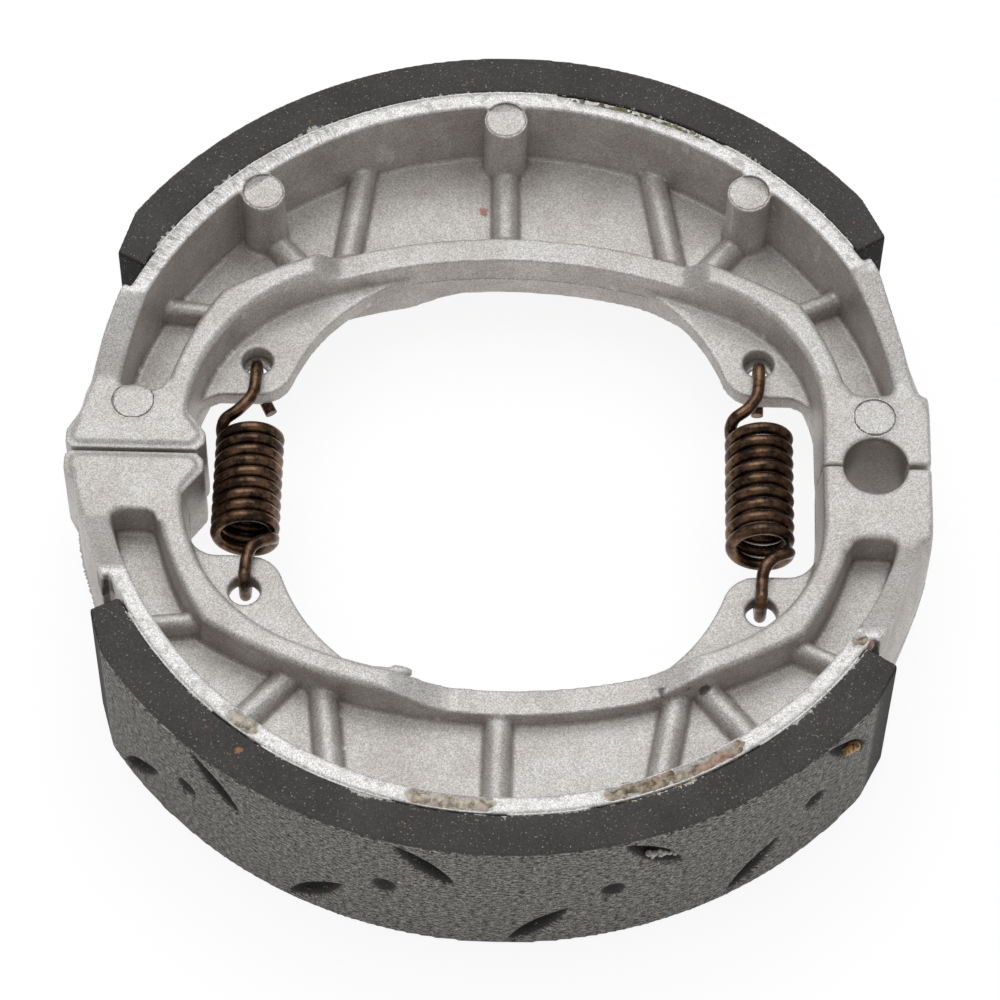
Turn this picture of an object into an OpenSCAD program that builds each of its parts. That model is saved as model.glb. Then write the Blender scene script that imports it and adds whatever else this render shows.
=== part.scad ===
// Drum brake shoe set: two identical die-cast shoes with bonded linings,
// one turned over and set face to face with the other, held together by two
// hooked return springs. The drum axis is Z and passes through the origin,
// the set rests on z = 0, the cam side is -X and the anchor side is +X.
// Millimetres throughout.

/* [Drum and linings] */
// Diameter over the linings, which is the bore of the drum
drum_d = 110; // [106:1:118]
// Width of the linings and of the shoe tables
lining_w = 22.4; // [21:0.2:26]
// Thickness of a lining
lining_t = 5.3; // [4.5:0.1:6]
// Thickness of the adhesive film between lining and table
bond_t = 0.1; // [0.05:0.05:0.2]
// Angle at which a lining starts on the anchor side
lining_a0 = 33.2; // [32.8:0.1:36]
// Angle at which a lining ends on the cam side
lining_a1 = 152.6; // [150:0.1:153]
// Length of the bevel at each lining end
lining_bevel_l = 6.2; // [4:0.1:8]
// Drop of the bevel at the anchor end of a lining
anchor_bevel_h = 1.1; // [0.8:0.1:2]
// Drop of the bevel at the cam end of a lining
cam_bevel_h = 1.6; // [0.8:0.1:2]
// Depth of the leaf-shaped slots in the lining
slot_depth = 1.9; // [1:0.1:2.4]
// Width of a slot where it is widest
slot_w = 2.9; // [2:0.1:3.4]
// Radius of the wheel that shapes a slot
slot_wheel_r = 10.5; // [9:0.5:12]
// Angle between neighbouring slots
slot_pitch = 13.7; // [12.5:0.1:13.8]
// Lean of a slot away from the drum axis
slot_lean = 43; // [35:1:50]
// Distance from a lining edge to the middle of a slot
slot_edge = 4.5; // [4:0.1:5]
// Diameter of the round dimples along the middle of the lining
dimple_d = 3.4; // [2.6:0.1:4]
// Depth of a dimple
dimple_depth = 0.9; // [0.5:0.1:1.2]

/* [Casting walls] */
// Thickness of the curved table at its edges
table_t = 2.1; // [1.8:0.1:2.6]
// Draft of the inner side of the table, from its edges to the web
table_draft = 0.6; // [0.3:0.1:0.8]
// Thickness of the web and of the spring ears
web_t = 2.4; // [2:0.1:3]
// Thickness of the pads at the two ends
pad_t = 13; // [12:0.5:15]
// Step from the bonding face up to the outside of the end arms
arm_step = 1.5; // [1:0.1:2]
// Draft of the outside of the end arms, from the web to their edges
arm_draft = 0.5; // [0.2:0.1:0.7]
// Angle at which the end arm starts on the anchor side
arm_a0 = 31.6; // [30:0.1:32.2]
// Angle at which the end arm starts on the cam side
arm_a1 = 156.4; // [155.4:0.1:158]
// Height above the joint line at which the cam arm is down to the pad
cam_slope_y0 = 9.5; // [9:0.5:11]
// Height above the joint line at which the cam arm reaches full width
cam_slope_y1 = 19.2; // [18:0.2:19.4]
// Height above the joint line at which the anchor arm is down to the pad
anchor_slope_y0 = 11; // [10.5:0.5:13]
// Height above the joint line at which the anchor arm reaches full width
anchor_slope_y1 = 25.5; // [24:0.5:25.5]
// Direction of the flat on the outside of the anchor arm
side_flat_a = 18; // [16:0.5:20]
// Depth of that flat at the edges of the arm
side_flat_cut = 1.4; // [1:0.1:1.6]

/* [Inner rim] */
// Depth of a shoe at its middle, from the bonding face to the rim's inner side
shoe_depth = 19.5; // [19:0.1:20.2]
// Radius of the long inner arc of the rim
rim_r = 63; // [61:0.5:66]
// Width of the rim at its middle
rim_w = 2.9; // [2.5:0.1:3.4]
// Thickness of the rim at its middle
rim_t = 7.2; // [6.4:0.2:8.4]
// How far the parting ridge stands out from the inner side of the rim
rim_ridge = 0.6; // [0.4:0.1:0.9]
// Bevel of the rim edges
rim_edge = 0.5; // [0.4:0.1:1]
// Half length of the thinner stretch of the rim, on the face with the bosses
rim_mid_x = 20.5; // [19:0.5:21.5]
// Distance from the middle at which that face is level with the pads
rim_full_x = 24.5; // [23.5:0.5:26]
// Reach of the thinner stretch towards the cam end, on the other face
rim_back_cam_x = 5.5; // [4:0.5:8]
// Reach of the thinner stretch towards the anchor end, on the other face
rim_back_anchor_x = 15.5; // [14:0.5:17]
// Length of the slopes on the other face, up to the level of the pads
rim_back_slope = 9; // [7:0.5:10]
// Clear width of the pockets between table and rim, beside the ends
pocket_w = 5.7; // [5.2:0.1:6.1]
// Corner radius of the pockets
pocket_r = 1.4; // [1:0.1:1.8]

/* [End pads] */
// Width of the cam end, across its arm
cam_end_w = 12.9; // [12.4:0.1:13.2]
// Corner radius of the inner side at the cam end
cam_corner_r = 22; // [20:0.5:23]
// Width of the anchor end, across its arm
anchor_end_w = 13.7; // [13.4:0.1:14.2]
// Corner radius of the inner side at the anchor end
anchor_corner_r = 18.5; // [17:0.5:19.5]
// Height above the joint line at which the cam pocket starts
cam_pocket_y = 8.4; // [8:0.1:9]
// Height above the joint line at which the anchor pocket starts
anchor_pocket_y = 10; // [9.6:0.1:10.6]
// Clearance between the two cam faces
cam_gap = 0.5; // [0.4:0.1:1]
// Flare of the cam foot past the outside of its arm
foot_flare_out = 1.3; // [1:0.1:1.6]
// Flare of the cam foot past the inside of its arm
foot_flare_in = 2.4; // [2:0.1:2.8]
// Height of the corners of the cam foot above the joint line
foot_y = 2.6; // [2:0.1:3.2]
// Width of the lowered border round the cam foot
foot_border = 1; // [0.7:0.1:1.3]
// Depth of the lowered border round the cam foot
foot_drop = 0.4; // [0.2:0.1:0.6]
// Distance from the anchor bore to the outside of its arm
anchor_set = 7.5; // [7.1:0.1:7.8]
// Diameter of the anchor bore
anchor_d = 7.5; // [7:0.1:8]
// Flat taken off the outside of the anchor end at the joint line
anchor_trim = 0.9; // [0.6:0.1:1.2]
// Clearance between the anchor faces, on the side of the springs
anchor_gap_in = 0.2; // [0.2:0.1:0.4]
// Clearance between the anchor faces, on the outer side
anchor_gap_out = 0.6; // [0.6:0.1:1]

/* [Ribs and bosses] */
// Width of the round ribs
rib_w = 3.1; // [2.6:0.1:3.6]
// Height of the round ribs over the middle of the web
rib_h = 3.2; // [2.8:0.1:3.5]
// Width of the tall ribs beside the end pockets
end_rib_w = 2.2; // [1.8:0.1:2.6]
// Height of the tall ribs over the middle of the web
end_rib_h = 4.2; // [3.8:0.1:5]
// Diameter of the ejector bosses
boss_d = 5.3; // [4.8:0.1:5.8]
// Distance from the inside of the table to the middle of a boss
boss_set = 1.8; // [1.5:0.1:2.2]
// Step from the edge of the table down to the top of a boss
boss_drop = 0.3; // [0.1:0.1:0.5]
// Angle of the middle boss
boss_a = 91.4; // [90:0.1:93]
// Angle between two bosses
boss_step = 40.2; // [39:0.1:41]
// Diameter of the flat ejector marks on the pads
mark_d = 5.1; // [4.6:0.1:5.4]
// How far an ejector mark stands out of its pad
mark_h = 0.15; // [0.1:0.05:0.3]
// Height of the ejector marks above the joint line
mark_y = 6.6; // [6.3:0.1:6.9]

/* [Spring ears] */
// Distance from the cam end wall to its ear hole
cam_hole_in = 7.7; // [7.4:0.1:8]
// Height of the cam side ear hole above the joint line
cam_hole_y = 16; // [15.6:0.1:16.4]
// Distance from the anchor end wall to its ear hole
anchor_hole_in = 7.2; // [6.9:0.1:7.5]
// Height of the anchor side ear hole above the joint line
anchor_hole_y = 17.3; // [16.8:0.1:17.8]
// Diameter of the ear holes at the faces of the ears
ear_hole_d = 3.8; // [3.6:0.1:4.2]
// Narrowing of the ear holes towards the middle of the ears
ear_hole_draft = 0.2; // [0.1:0.05:0.3]
// Metal between an ear hole and the lower edge of the ear
ear_land = 2.9; // [2.6:0.1:3.2]
// Radius of the tip of an ear
ear_tip_r = 4.3; // [4:0.1:4.6]
// Distance from an ear hole to the side of the ear facing the opening
ear_side = 4.6; // [4.3:0.1:5]
// Lean of that side away from the Y axis, where it leaves the tip
ear_lean = 19.5; // [17:0.5:20]
// Radius of the hollow side of an ear, up to the rim
ear_blend_r = 23.5; // [23:0.5:26]
// Radius of the hollow curve from an ear into the end wall
ear_root_r = 3.6; // [2.4:0.2:4]

/* [Return springs] */
// Diameter of the spring wire
wire_d = 1.5; // [1.3:0.1:1.5]
// Outside diameter of the coils
coil_d = 8.3; // [7.6:0.1:8.6]
// Number of turns, with a half turn between the two hooks
coil_turns = 9.5; // [7.5:1:9.5]
// Gap between the turns of the cam side spring, which is wound close
cam_turn_gap = 0.03; // [0.02:0.01:0.06]
// Gap between the turns of the anchor side spring, which is stretched a little
anchor_turn_gap = 0.25; // [0.2:0.01:0.3]
// Shift of the cam side coil from its ear holes towards the cam end
cam_coil_out = 0.4; // [0:0.1:0.6]
// Shift of the cam side coil towards the lower shoe
cam_coil_shift = 1; // [0.6:0.1:1.4]
// Shift of the anchor side coil towards the lower shoe
anchor_coil_shift = 0.3; // [0:0.1:0.5]
// Sideways bend of the free end of the cam side spring on the upper shoe
cam_tip_out = 1.8; // [1:0.1:2.2]
// Clearance between the wire and the ears
hook_clear = 0.15; // [0.1:0.05:0.25]

/* [Hidden] */
$fn = 96;
far = 200;
casting_color = "silver";
lining_color = "dimgray";
spring_color = "saddlebrown";

// Radii of the rings, from the drum inwards
drum_r = drum_d / 2;
bond_r = drum_r - lining_t;
table_r = bond_r - bond_t;
table_in_r = table_r - table_t;
arm_r = table_r + arm_step;
rim_out_r = table_in_r - pocket_w;
boss_r = table_in_r - boss_set;

// How far the web reaches into the rim and the pads
web_hold = 0.5;

// Heights over the middle plane of a shoe
half_w = lining_w / 2;
half_pad = pad_t / 2;
half_web = web_t / 2;
half_rim = rim_t / 2;

// Distances from the drum axis
rim_y = table_r - shoe_depth;
rim_cy = rim_y - rim_r;
cam_wall_x = arm_r - cam_end_w;
anchor_wall_x = arm_r - anchor_end_w;
anchor_x = arm_r - anchor_set;
anchor_out_x = arm_r - anchor_trim;
cam_hole_x = cam_wall_x - cam_hole_in;
anchor_hole_x = anchor_wall_x - anchor_hole_in;

// Middle of each arc that joins an end wall to the long arc of the rim
cam_corner = [cam_wall_x - cam_corner_r,
              rim_cy + sqrt(pow(rim_r - cam_corner_r, 2) - pow(cam_wall_x - cam_corner_r, 2))];
anchor_corner = [anchor_wall_x - anchor_corner_r,
                 rim_cy + sqrt(pow(rim_r - anchor_corner_r, 2) - pow(anchor_wall_x - anchor_corner_r, 2))];

// Every rib: angle where it meets the table, angle where it meets the rim,
// width, height over the middle of the web, and how far the same rib is
// turned on the other face, which the other half of the die forms
ribs = [
  [boss_a, boss_a, rib_w, rib_h, -0.9],
  [boss_a + boss_step, boss_a + boss_step, rib_w, rib_h, 0],
  [boss_a - boss_step, boss_a - boss_step, rib_w, rib_h, -1],
  [112.8, 125.6, rib_w, rib_h, 0.6],
  [69, 55.2, rib_w, rib_h, -0.8],
  [152.4, 148.4, end_rib_w, end_rib_h, 0],
  [32.8, 34.2, end_rib_w, end_rib_h, 0]
];

// The slots lean one way or the other by turns, eight to a lining
slot_count = 8;
slot_mid_a = 91.8;
dimple_count = 4;

wire_r = wire_d / 2;
coil_r = (coil_d - wire_d) / 2;
wire_sides = 8;
turn_steps = 12;
hook_steps = 3;

function unit(v) = v / norm(v);

// Radius at which the ray from the drum axis at angle a meets the circle of
// radius r round the middle of the long rim arc
function ray_r(a, r) = rim_cy * sin(a) + sqrt(r * r - pow(rim_cy * cos(a), 2));

// Radius of the outer side of the rim at angle a
function rim_side_r(a) = min(rim_out_r, ray_r(a, rim_r + rim_w));

function polar(r, a) = [r * cos(a), r * sin(a)];

// Disc that cuts the inner side of the rim: narrowest at the parting ridge,
// with bevelled edges at height h
module flared_disc(r, h) {
  rotate_extrude()
    polygon([[0, -far], [r + rim_edge, -far], [r + rim_edge, -h], [r, rim_edge - h],
             [r - rim_ridge, 0], [r, h - rim_edge], [r + rim_edge, h], [r + rim_edge, far], [0, far]]);
}

// Disc that forms the outer side of the rim, widest at the parting plane
module drafted_disc(r, h) {
  rotate_extrude()
    polygon([[0, -h], [r - rim_edge, -h], [r, rim_edge - h], [r + rim_edge / 2, 0],
             [r, h - rim_edge], [r - rim_edge, h], [0, h]]);
}

// Straight cut beside an end wall, from the joint line to height y
module wall_cut(wall, y) {
  lap = 1;
  translate([0, y, 0])
    rotate([90, 0, 0])
      linear_extrude(y + lap)
        polygon([[-lap, -far], [wall + rim_edge, -far], [wall + rim_edge, -half_pad],
                 [wall, rim_edge - half_pad], [wall - rim_ridge, 0], [wall, half_pad - rim_edge],
                 [wall + rim_edge, half_pad], [wall + rim_edge, far], [-lap, far]]);
}

// Point beyond a corner middle, on the ray from the middle of the long arc
function past_corner(corner) = corner + far / 2 * unit(corner - [0, rim_cy]);

// Wedge from the middle of the long rim arc through the two corner middles
module rim_wedge() {
  cam_side = past_corner(cam_corner);
  polygon([[0, rim_cy], [-cam_corner[0], cam_corner[1]], [-cam_side[0], cam_side[1]],
           past_corner(anchor_corner), anchor_corner]);
}

// Sector between the wedge and the end wall, drawn on the +X side
module corner_sector(corner) {
  polygon([corner, corner + [far / 2, 0], past_corner(corner) + [far / 2, 0], past_corner(corner)]);
}

// Rounded corner between the rim and an end wall, drawn on the +X side, and a
// smaller disc over the seams, so that no skin is left between the cuts
module corner_cut(corner, r) {
  intersection() {
    translate([corner[0], corner[1], 0])
      flared_disc(r, half_pad);
    linear_extrude(2 * far, center = true)
      corner_sector(corner);
  }
  translate([corner[0], corner[1], 0])
    cylinder(r = r - 2 * rim_ridge, h = far, center = true);
}

// Space inside the shoe, which cuts the rim and the inner side of the pads
module opening() {
  mirror([1, 0, 0]) {
    corner_cut(cam_corner, cam_corner_r);
    wall_cut(cam_wall_x, cam_corner[1]);
  }
  corner_cut(anchor_corner, anchor_corner_r);
  wall_cut(anchor_wall_x, anchor_corner[1]);
  intersection() {
    translate([0, rim_cy, 0])
      flared_disc(rim_r, half_pad);
    linear_extrude(2 * far, center = true)
      rim_wedge();
  }
}

// Points along an arc from angle a0 up to, but without, angle a1
function arc_points(middle, r, a0, a1, n = 12) =
  [for (i = [0 : n - 1]) middle + polar(r, a0 + (a1 - a0) * i / n)];

// The same space in outline, a little larger, so that the web ends in the rim
module opening_outline() {
  cam_a = atan2(cam_corner[1] - rim_cy, -cam_corner[0]);
  anchor_a = atan2(anchor_corner[1] - rim_cy, anchor_corner[0]);
  polygon(concat([[-cam_wall_x - web_hold, -1]],
                 arc_points([-cam_corner[0], cam_corner[1]], cam_corner_r + web_hold, 180, cam_a),
                 arc_points([0, rim_cy], rim_r + web_hold, cam_a, anchor_a),
                 arc_points(anchor_corner, anchor_corner_r + web_hold, anchor_a, 0),
                 [anchor_corner + [anchor_corner_r + web_hold, 0], [anchor_wall_x + web_hold, -1]]));
}

// Spring ear, drawn on the +X side: a round tip, a hollow side that runs up
// into the rim, and a lower edge that runs into the end wall in a small curve
module ear_outline(hole_x, hole_y, wall, corner, corner_r) {
  low = hole_y - ear_hole_d / 2 - ear_land;
  tip = [hole_x - ear_side + ear_tip_r, low + ear_tip_r];
  hollow = tip + polar(ear_tip_r + ear_blend_r, 180 + ear_lean);
  middle = [0, rim_cy];
  buried_r = rim_r - rim_ridge / 2;
  gap = norm(hollow - middle);
  toward = unit(hollow - middle);
  reach = (buried_r * buried_r - ear_blend_r * ear_blend_r + gap * gap) / (2 * gap);
  half_chord = sqrt(max(0, buried_r * buried_r - reach * reach));
  meet = middle + reach * toward + half_chord * [toward[1], -toward[0]];
  meet_a = atan2(meet[1] - hollow[1], meet[0] - hollow[0]);
  root = [wall - rim_ridge - ear_root_r, low - ear_root_r];
  polygon(concat(arc_points(root, ear_root_r, 0, 90, 8),
                 [[root[0], low]],
                 arc_points(tip, ear_tip_r, 270, 180 + ear_lean, 12),
                 arc_points(hollow, ear_blend_r, ear_lean, meet_a, 20),
                 [meet, meet + 2 * unit(meet - middle), corner + (corner_r + 2) * unit(corner - middle),
                  corner + (corner_r + 2) * unit([1, 1]), [wall + 1, low + 3], [wall + 1, root[1]]]));
}

module ears_outline() {
  mirror([1, 0])
    ear_outline(cam_hole_x, cam_hole_y, cam_wall_x, cam_corner, cam_corner_r);
  ear_outline(anchor_hole_x, anchor_hole_y, anchor_wall_x, anchor_corner, anchor_corner_r);
}

// Web between table and rim, with the two ears that reach inwards from it
module web() {
  linear_extrude(web_t, center = true)
    difference() {
      intersection() {
        circle(r = table_in_r);
        translate([-far, 0])
          square([2 * far, far]);
      }
      opening_outline();
    }
  linear_extrude(web_t, center = true)
    ears_outline();
}

// Wall of a ring between two angles, drafted inside, and outside too if asked
module ring_wall(a0, a1, outer, draft = 0) {
  rotate([0, 0, a0])
    rotate_extrude(angle = a1 - a0)
      polygon([[outer - draft, -half_w], [outer, 0], [outer - draft, half_w], [table_in_r, half_w],
               [table_in_r - table_draft, 0], [table_in_r, -half_w]]);
}

// Curved table that carries the lining
module table() {
  lap = 0.5;
  ring_wall(arm_a0 - lap, arm_a1 + lap, table_r);
}

// Arms from the ends of the table down to the pads, sloping on both faces
module arm(a0, a1, slope_y0, slope_y1) {
  intersection() {
    ring_wall(a0, a1, arm_r, arm_draft);
    translate([-far / 2, 0, 0])
      rotate([90, 0, 90])
        linear_extrude(far)
          polygon([[0, -half_pad], [0, half_pad], [slope_y0, half_pad], [slope_y1, half_w],
                   [far, half_w], [far, -half_w], [slope_y1, -half_w], [slope_y0, -half_pad]]);
  }
}

// Space inside the flat on the outside of the anchor arm, which is deepest at
// the edges and leaves the parting line whole
module side_flat() {
  edge = arm_r - side_flat_cut;
  rotate([90, 0, side_flat_a])
    linear_extrude(far, center = true)
      polygon([[0, -half_w], [edge, -half_w], [edge, -half_pad], [arm_r, -half_web], [arm_r, half_web],
               [edge, half_pad], [edge, half_w], [0, half_w]]);
}

// Inward corner that rounds a pocket between its end and one of its walls
module pocket_corner(r, y, side) {
  x = sqrt(r * r - y * y);
  linear_extrude(pad_t, center = true)
    difference() {
      translate([side > 0 ? x - 0.3 : x - pocket_r, y - 0.3])
        square([pocket_r + 0.3, pocket_r + 0.3]);
      translate([x + side * pocket_r, y + pocket_r])
        circle(r = pocket_r);
    }
}

// Thick end of a shoe up to the start of its pocket, drawn on the +X side
module end_pad(pocket_y, limit_x) {
  intersection() {
    cylinder(r = arm_r, h = pad_t, center = true);
    translate([0, 0, -half_pad])
      cube([limit_x, pocket_y, pad_t]);
  }
  pocket_corner(rim_out_r, pocket_y, 1);
  pocket_corner(table_in_r - table_draft / 2, pocket_y, -1);
}

// Points of a gentle slope from one level to another, without its last point
function slope_points(x0, x1, z0, z1) =
  [for (i = [0 : 5])
    let (t = i / 6)
    [x0 + (x1 - x0) * t, z0 + (z1 - z0) * t * t * (3 - 2 * t)]];

// Rim with its outer side, which is thinner over a middle stretch
module rim() {
  back_cam = rim_back_cam_x + rim_back_slope;
  back_anchor = rim_back_anchor_x + rim_back_slope;
  intersection() {
    drafted_disc(rim_out_r, half_pad);
    translate([0, rim_cy, 0])
      drafted_disc(rim_r + rim_w, half_pad);
    translate([0, far, 0])
      rotate([90, 0, 0])
        linear_extrude(far)
          polygon(concat([[-far, half_pad]],
                         slope_points(-rim_full_x, -rim_mid_x, half_pad, half_rim),
                         [[-rim_mid_x, half_rim]],
                         slope_points(rim_mid_x, rim_full_x, half_rim, half_pad),
                         [[rim_full_x, half_pad], [far, half_pad], [far, -half_pad]],
                         slope_points(back_anchor, rim_back_anchor_x, -half_pad, -half_rim),
                         [[rim_back_anchor_x, -half_rim]],
                         slope_points(-rim_back_cam_x, -back_cam, -half_rim, -half_pad),
                         [[-back_cam, -half_pad], [-far, -half_pad]]));
  }
}

// Outline of the flared cam foot, drawn on the +X side, with its lower edge
// and its sides moved in by d
function foot_outline(d) = [
  [cam_wall_x - foot_flare_in + 1.2 + d / 2, d],
  [cam_wall_x - foot_flare_in + d, 1.2 + d / 2],
  [cam_wall_x - foot_flare_in + d, foot_y],
  [cam_wall_x + rim_edge + d, foot_y + 4],
  [arm_r - 0.6 - d, foot_y + 3.4],
  [arm_r + foot_flare_out - d, foot_y],
  [arm_r + foot_flare_out - d, 0.9 + d / 2],
  [arm_r + foot_flare_out - 0.9 - d / 2, d]
];

module foot() {
  linear_extrude(pad_t - 2 * foot_drop, center = true)
    polygon(foot_outline(0));
  linear_extrude(pad_t, center = true)
    polygon(foot_outline(foot_border));
}

// The border is lowered where the pad itself would stand above it
module foot_border_cut() {
  for (side = [-1, 1])
    translate([0, 0, side * half_pad])
      linear_extrude(2 * foot_drop, center = true)
        difference() {
          translate([cam_wall_x - foot_flare_in - 1, -1])
            square([cam_end_w + foot_flare_in + foot_flare_out + 2, foot_y + 1]);
          polygon(foot_outline(foot_border));
        }
}

// Straight rib with a rounded top, on one face of the web
module half_rib(row, side) {
  turn = side > 0 ? 0 : row[4];
  start = polar(table_in_r + 0.3, row[0] + turn);
  end = polar(rim_side_r(row[1] + turn) - 1.2, row[1] + turn);
  run = end - start;
  flank = row[3] - row[2] / 2;
  translate(start)
    rotate([0, 0, atan2(run[1], run[0])])
      translate([0, -row[2] / 2, side > 0 ? -web_hold : -flank])
        cube([norm(run), row[2], flank + web_hold]);
  translate([start[0], start[1], side * flank])
    rotate([0, 0, atan2(run[1], run[0])])
      rotate([0, 90, 0])
        cylinder(d = row[2], h = norm(run));
}

// Ejector bosses, on one face only and a little lower than the edge of the table
module bosses() {
  for (i = [-1, 0, 1])
    translate(polar(boss_r, boss_a + i * boss_step))
      cylinder(d = boss_d, h = half_w - boss_drop);
}

// Flat ejector marks on the pads, on the face that has the bosses
module marks() {
  for (x = [-(cam_wall_x + arm_r) / 2, anchor_x])
    translate([x, mark_y, 0])
      cylinder(d = mark_d, h = half_pad + mark_h);
}

// Bore for the anchor pin: each shoe holds one half of it
module anchor_bore() {
  edge = 0.3;
  translate([anchor_x, 0, 0]) {
    cylinder(d = anchor_d, h = far, center = true);
    for (side = [0, 1])
      mirror([0, 0, side])
        translate([0, 0, half_pad - edge])
          cylinder(d1 = anchor_d, d2 = anchor_d + 4 * edge, h = 2 * edge);
  }
}

// Holes for the spring hooks, cast by two pins that meet in the middle
module ear_holes() {
  inner_d = ear_hole_d - ear_hole_draft * (1 + web_hold / half_web);
  for (p = [[-cam_hole_x, cam_hole_y], [anchor_hole_x, anchor_hole_y]], side = [0, 1])
    translate(p)
      mirror([0, 0, side])
        translate([0, 0, -web_hold])
          cylinder(d1 = inner_d, d2 = ear_hole_d + ear_hole_draft, h = web_t + web_hold);
}

// Clearance at the joint line: one value at the cam, two at the anchor
module joint_clearance() {
  translate([-far, -far, -far / 2])
    cube([far, far + cam_gap / 2, far]);
  translate([-1, -far, -far / 2])
    cube([anchor_x + 1, far + anchor_gap_in / 2, far]);
  translate([anchor_x, -far, -far / 2])
    cube([far, far + anchor_gap_out / 2, far]);
}

// One casting, with its middle plane on z = 0 and its bosses upwards
module casting() {
  difference() {
    union() {
      difference() {
        union() {
          mirror([1, 0, 0])
            end_pad(cam_pocket_y, arm_r + 1);
          end_pad(anchor_pocket_y, anchor_out_x);
          rim();
        }
        opening();
        mirror([1, 0, 0])
          foot_border_cut();
      }
      mirror([1, 0, 0])
        foot();
      table();
      intersection() {
        arm(0, arm_a0, anchor_slope_y0, anchor_slope_y1);
        side_flat();
        translate([0, 0, -half_w])
          cube([anchor_out_x, far, lining_w]);
      }
      difference() {
        arm(arm_a1, 180, cam_slope_y0, cam_slope_y1);
        mirror([1, 0, 0])
          foot_border_cut();
      }
      web();
      for (row = ribs, side = [-1, 1])
        half_rib(row, side);
      bosses();
      marks();
    }
    anchor_bore();
    ear_holes();
    joint_clearance();
  }
}

// Wheel with a sharp rim, which leaves a leaf-shaped slot
module slot_wheel() {
  deep = 2 * slot_depth;
  half = slot_w;
  rotate_extrude()
    polygon([[0, -half], [slot_wheel_r - deep, -half], [slot_wheel_r, 0],
             [slot_wheel_r - deep, half], [0, half]]);
}

module slots() {
  for (i = [0 : slot_count - 1]) {
    side = i % 2 == 0 ? 1 : -1;
    rotate([0, 0, slot_mid_a + ((slot_count - 1) / 2 - i) * slot_pitch])
      translate([drum_r + slot_wheel_r - slot_depth, 0, side * (half_w - slot_edge)])
        rotate([90 - side * slot_lean, 0, 0])
          slot_wheel();
  }
}

module dimples() {
  ball = (pow(dimple_d / 2, 2) + dimple_depth * dimple_depth) / (2 * dimple_depth);
  for (i = [0 : dimple_count - 1])
    rotate([0, 0, slot_mid_a + ((dimple_count - 1) / 2 - i) * 2 * slot_pitch - 2])
      translate([drum_r - dimple_depth + ball, 0, 0])
        sphere(r = ball);
}

// Bevel of a lining end, drawn at angle 0 with the lining towards +Y
module lining_bevel(drop) {
  past = lining_t / 2;
  sag = drum_r - sqrt(drum_r * drum_r - lining_bevel_l * lining_bevel_l);
  slope = (drop - sag) / lining_bevel_l;
  linear_extrude(far, center = true)
    polygon([[drum_r - drop - past * slope, -past], [drum_r - sag, lining_bevel_l],
             [drum_r + past, lining_bevel_l], [drum_r + past, -past]]);
}

// One lining, with its middle plane on z = 0
module lining() {
  difference() {
    rotate([0, 0, lining_a0])
      rotate_extrude(angle = lining_a1 - lining_a0)
        translate([bond_r, -half_w])
          square([lining_t, lining_w]);
    rotate([0, 0, lining_a0])
      lining_bevel(anchor_bevel_h);
    rotate([0, 0, lining_a1])
      mirror([0, 1, 0])
        lining_bevel(cam_bevel_h);
    slots();
    dimples();
  }
}

// The lower shoe is the upper one turned over about the joint line
module raised() {
  translate([0, 0, half_w])
    children();
}

module turned_over() {
  translate([0, 0, half_w])
    rotate([180, 0, 0])
      children();
}

// Point between b and c on the smooth curve through a, b, c and d
function curve_point(a, b, c, d, t) =
  0.5 * (2 * b + (c - a) * t + (2 * a - 5 * b + 4 * c - d) * t * t
         + (3 * b - a - 3 * c + d) * t * t * t);

function smooth(pts, steps) = [
  for (i = [0 : len(pts) - 2], k = [0 : steps - 1])
    curve_point(pts[max(i - 1, 0)], pts[i], pts[i + 1], pts[min(i + 2, len(pts) - 1)], k / steps),
  pts[len(pts) - 1]
];

// Hook from the end of a coil over the ear and down through its hole.
// It leaves the coil at the given side in X and is drawn towards +Y.
// In the hole it bends round the edges at an even distance.
function hook(coil_x, coil_y, hole_x, hole_y, side, tip_x) =
  let (bend = wire_r + hook_clear + ear_hole_draft / 2,
       lift = half_web + bend,
       edge = hole_y - ear_hole_d / 2,
       x = coil_x + side * coil_r)
  concat([
    [x, coil_y, 0],
    [x, coil_y + 0.35, 0.8],
    [coil_x + side * coil_r * 0.86, coil_y + 1, lift - 0.4],
    [coil_x + side * coil_r * 0.4, coil_y + 2.1, lift + 0.15],
    [hole_x + side * 0.25, (coil_y + edge) / 2 + 0.5, lift + 0.1]
  ],
  [for (a = [90, 50, 10]) [hole_x, edge + bend * cos(a), half_web + bend * sin(a)]],
  [for (a = [10, 50, 90]) [hole_x, edge + bend * cos(a), -half_web - bend * sin(a)]],
  [
    [hole_x + tip_x * 0.35, edge - 1, -lift - 0.1],
    [hole_x + tip_x, edge - 3.2, -lift - 0.5]
  ]);

// Wire of a spring: lower hook, coil from the lower shoe to the upper, upper hook
function spring_path(coil_x, shift, pitch, hole_x, hole_y, tip_x) =
  let (half_l = coil_turns * pitch / 2,
       steps = coil_turns * turn_steps,
       upper = smooth(hook(coil_x, half_l - shift, hole_x, hole_y, -1, tip_x), hook_steps),
       lower = smooth(hook(coil_x, half_l + shift, hole_x, hole_y, 1, 0), hook_steps),
       turns = [for (i = [1 : steps - 1])
         let (a = 360 * i / turn_steps)
         [coil_x - coil_r * cos(a), half_l - shift - pitch * i / turn_steps, -coil_r * sin(a)]])
  concat([for (i = [len(upper) - 1 : -1 : 0]) upper[i]], turns,
         [for (p = lower) [p[0], -p[1], p[2]]]);

function heading(path, i) =
  unit(path[min(i + 1, len(path) - 1)] - path[max(i - 1, 0)]);

// Directions across the wire, each carried on from the one before it
function across(path) = [
  for (i = 0, n = unit(cross(heading(path, 0), [1, 0, 0])); i < len(path);
       i = i + 1, n = unit(n - (n * heading(path, min(i, len(path) - 1)))
                               * heading(path, min(i, len(path) - 1))))
    n
];

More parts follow.
